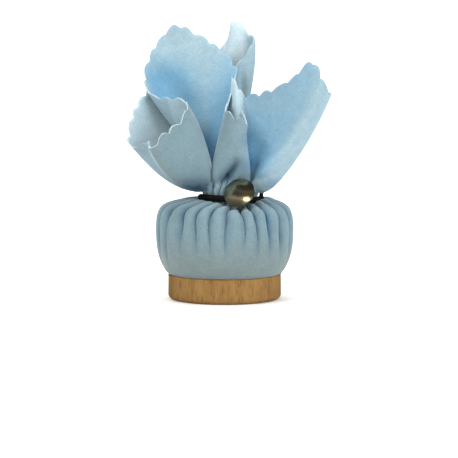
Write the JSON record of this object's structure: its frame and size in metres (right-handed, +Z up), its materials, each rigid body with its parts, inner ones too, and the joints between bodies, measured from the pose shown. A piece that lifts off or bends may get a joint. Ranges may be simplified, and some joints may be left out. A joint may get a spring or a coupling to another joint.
{
  "type": "rosin cake",
  "caption": "Round cake of bow rosin on a wooden disc, wrapped in a square cloth gathered to a neck above it and held by an elastic with a domed metal button.",
  "frame": {"origin": "centre of the wooden disc's underside, which rests on the table", "axes": "+Z up through the cake; -Y is the front, where the button is; +X is to the right seen from the front"},
  "size_m": [0.0783, 0.056, 0.111],
  "materials": {
    "beech": "fine-sanded and oiled beech",
    "glue": "dried clear glue",
    "cloth": "soft matt microfibre felt",
    "rosin": "glassy cast amber",
    "elastic": "braided cover over a rubber core",
    "nickel": "polished nickel plate",
    "steel": "plain wire and sheet"
  },
  "bodies": {
    "wrapped_cake": {"wooden_base": "beech", "base_glue": "glue", "cloth_bag": "cloth", "cloth_petals": "cloth", "cake_glue": "glue", "rosin_cake": "rosin"},
    "band": {"elastic_band": "elastic", "band_knot": "elastic"},
    "button": {"button_shell": "nickel", "button_back": "steel", "button_shank": "steel"}
  },
  "joints": [
    {"name": "band_turn", "type": "hinge", "parent": "wrapped_cake", "child": "band", "pos_m": [0.0022, 0, 0.04], "axis": [0, 0, 1], "range_deg": [-8, 8]},
    {"name": "button_swing", "type": "hinge", "parent": "band", "child": "button", "pos_m": [0.00753, -0.01041, 0.0403], "axis": [-0.889, -0.4534, 0.0642], "range_deg": [0, 10]}
  ]
}
